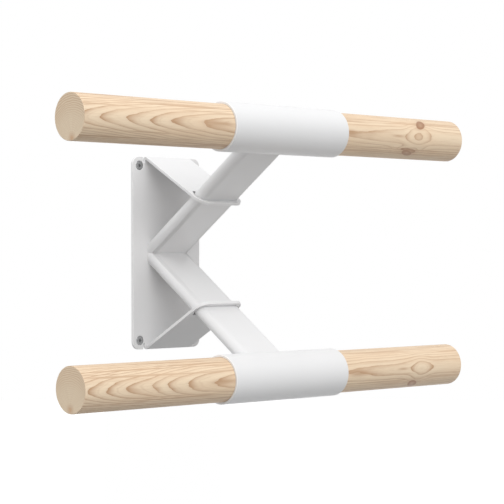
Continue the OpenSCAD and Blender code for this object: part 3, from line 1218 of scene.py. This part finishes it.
class BARRE_OT_bar_screws(bpy.types.Operator):
    """Turns a round-headed bar screw, cuts its cross and copies it to the sleeves' backs"""

    bl_idname = "barre.bar_screws"
    bl_label = "Bar screws"

    def execute(self, context):
        sizes = context.scene.barre_sizes
        low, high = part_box("bar_screw_upper_left")
        radius = sizes.bar_screw_diameter / 2
        height = sizes.bar_screw_height
        # Drawn with the underside of the head at z = 0 and a short shank below it
        points = [(0, height)]
        for step in range(1, DOME_STEPS + 1):
            turn = step / DOME_STEPS * math.pi / 2
            points.append((radius * math.sin(turn), height * (0.25 + 0.75 * math.cos(turn))))
        points += [(radius * 0.97, 0), (0.002, 0), (0.002, -0.006), (0, -0.006)]
        draw_profile(points)
        turn_profile()
        screw = name_piece("Bar_screw_upper_left")
        cut_cross(
            screw, foot_radius=0.0005, mouth_radius=0.0009, height=height - 0.0004,
            tilt=0, widening=2.6,
        )
        lay_screw(screw, ((low.x + high.x) / 2, high.y - height, BAR_Z))
        across = -(low.x + high.x)
        down = -2 * BAR_Z
        seat_screws(screw, "bar_screw_upper_left", (
            ("Bar_screw_upper_right", "bar_screw_upper_right", (across, 0, 0)),
            ("Bar_screw_lower_left", "bar_screw_lower_left", (0, 0, down)),
            ("Bar_screw_lower_right", "bar_screw_lower_right", (across, 0, down)),
        ))
        return {"FINISHED"}


class BARRE_OT_stage(bpy.types.Operator):
    """Sets the camera, the soft studio light, the floor and the white wall"""

    bl_idname = "barre.stage"
    bl_label = "Stage"

    def execute(self, context):
        stage = context.scene.barre_stage
        camera = bpy.data.cameras.new("Camera")
        camera.sensor_width = 36
        camera.lens = stage.lens_mm
        camera.shift_y = stage.shift_up
        camera.clip_start = 0.05
        camera.clip_end = 60
        viewer = bpy.data.objects.new("Camera", camera)
        viewer.location = stage.camera_place
        viewer.rotation_euler = (math.pi / 2 + stage.camera_tilt, 0, -stage.camera_heading)
        context.scene.collection.objects.link(viewer)
        context.scene.camera = viewer
        self.light_room(context.scene, stage)
        self.hang_lamp(context.scene, "Softbox", stage.key_place, stage.key_power, stage.key_size)
        self.hang_lamp(context.scene, "Back_lamp", stage.back_place, stage.back_power, stage.key_size)
        self.lay_floor(stage.floor_height)
        self.stand_wall()
        context.scene.view_settings.view_transform = "Standard"
        return {"FINISHED"}

    def light_room(self, scene, stage):
        """Soft light from six sides, strongest from above. Seen directly it is white."""
        world = bpy.data.worlds.new("Studio")
        scene.world = world
        world.use_nodes = True
        tree = world.node_tree
        tree.nodes.clear()
        place = add_node(tree, "TexCoord")
        level = 0.0
        for part, low_side, high_side in zip(
            split(tree, place.outputs["Generated"]),
            (stage.light_left, stage.light_front, stage.light_below),
            (stage.light_right, stage.light_back, stage.light_above),
        ):
            high = calc(tree, "GREATER_THAN", part, 0.0)
            strength = times_plus(tree, high, high_side - low_side, low_side)
            level = times_plus(tree, times(tree, part, part), strength, level)
        light = add_node(tree, "Background")
        white = add_node(tree, "Background")
        for background, strength in ((light, level), (white, 1.0)):
            feed(tree, ((1, 1, 1, 1), strength), background.inputs)
        output = add_node(tree, "OutputWorld")
        mix_shaders(tree, seen_directly(tree), light.outputs[0], white.outputs[0], output)

    def hang_lamp(self, scene, name, place, power, size):
        """A square lamp that faces the bracket."""
        light = bpy.data.lights.new(name, "AREA")
        light.size = size
        light.energy = power
        lamp = bpy.data.objects.new(name, light)
        lamp.location = place
        lamp.rotation_euler = Vector(place).to_track_quat("Z", "Y").to_euler()
        scene.collection.objects.link(lamp)

    def lay_floor(self, height):
        """A pale floor that takes the object's shadow but throws no light back up."""
        start_clean()
        bpy.ops.mesh.primitive_circle_add(
            vertices=96, radius=FLOOR_RADIUS, fill_type="NGON", location=(0, 0, height)
        )
        floor = name_piece("Floor")
        material, tree = empty_material("Pale_floor")
        matt = add_node(tree, "BsdfDiffuse")
        matt.inputs["Color"].default_value = FLOOR_GREY
        glow = add_node(tree, "Emission")
        glow.inputs["Strength"].default_value = FLOOR_GLOW
        both = add_node(tree, "AddShader")
        feed(tree, (matt.outputs[0], glow.outputs[0]), both.inputs)
        one_sided(tree, both.outputs[0])
        floor.data.materials.append(material)

    def stand_wall(self):
        """The strip of white wall behind the bracket, seen only from the room."""
        start_clean()
        bpy.ops.mesh.primitive_plane_add(
            size=WALL_WIDTH, location=(0, PLATE_HIGH.y + WALL_GAP, 0), rotation=(math.pi / 2, 0, 0)
        )
        wall = name_piece("Wall")
        wall.scale.y = WALL_HEIGHT / WALL_WIDTH
        material, tree = empty_material("White_wall")
        white = add_node(tree, "Emission")
        white.inputs["Strength"].default_value = 1.0
        one_sided(tree, white.outputs[0])
        wall.data.materials.append(material)


class BARRE_PT_panel(bpy.types.Panel):
    """Lists the steps in the order in which they are run"""

    bl_label = "Ballet barre"
    bl_idname = "BARRE_PT_panel"
    bl_space_type = "VIEW_3D"
    bl_region_type = "UI"
    bl_category = "Barre"

    def draw(self, context):
        scene = context.scene
        for step in STEPS:
            self.layout.operator(step.bl_idname)
        for group in (scene.barre_sizes, scene.barre_finish, scene.barre_stage):
            box = self.layout.box()
            for key in group.__annotations__:
                box.prop(group, key)


STEPS = (
    BARRE_OT_stage,
    BARRE_OT_wooden_bars,
    BARRE_OT_sleeves,
    BARRE_OT_arms,
    BARRE_OT_wall_bracket,
    BARRE_OT_wall_screws,
    BARRE_OT_bar_screws,
)
CLASSES = (BarreSizes, BarreFinish, BarreStage) + STEPS + (BARRE_PT_panel,)


def register():
    for item in CLASSES:
        bpy.utils.register_class(item)
    bpy.types.Scene.barre_sizes = bpy.props.PointerProperty(type=BarreSizes)
    bpy.types.Scene.barre_finish = bpy.props.PointerProperty(type=BarreFinish)
    bpy.types.Scene.barre_stage = bpy.props.PointerProperty(type=BarreStage)


def unregister():
    del bpy.types.Scene.barre_stage
    del bpy.types.Scene.barre_finish
    del bpy.types.Scene.barre_sizes
    for item in reversed(CLASSES):
        bpy.utils.unregister_class(item)


def main():
    register()
    bpy.ops.barre.stage()
    bpy.ops.barre.wooden_bars()
    bpy.ops.barre.sleeves()
    bpy.ops.barre.arms()
    bpy.ops.barre.wall_bracket()
    bpy.ops.barre.wall_screws()
    bpy.ops.barre.bar_screws()


if __name__ == "__main__":
    main()
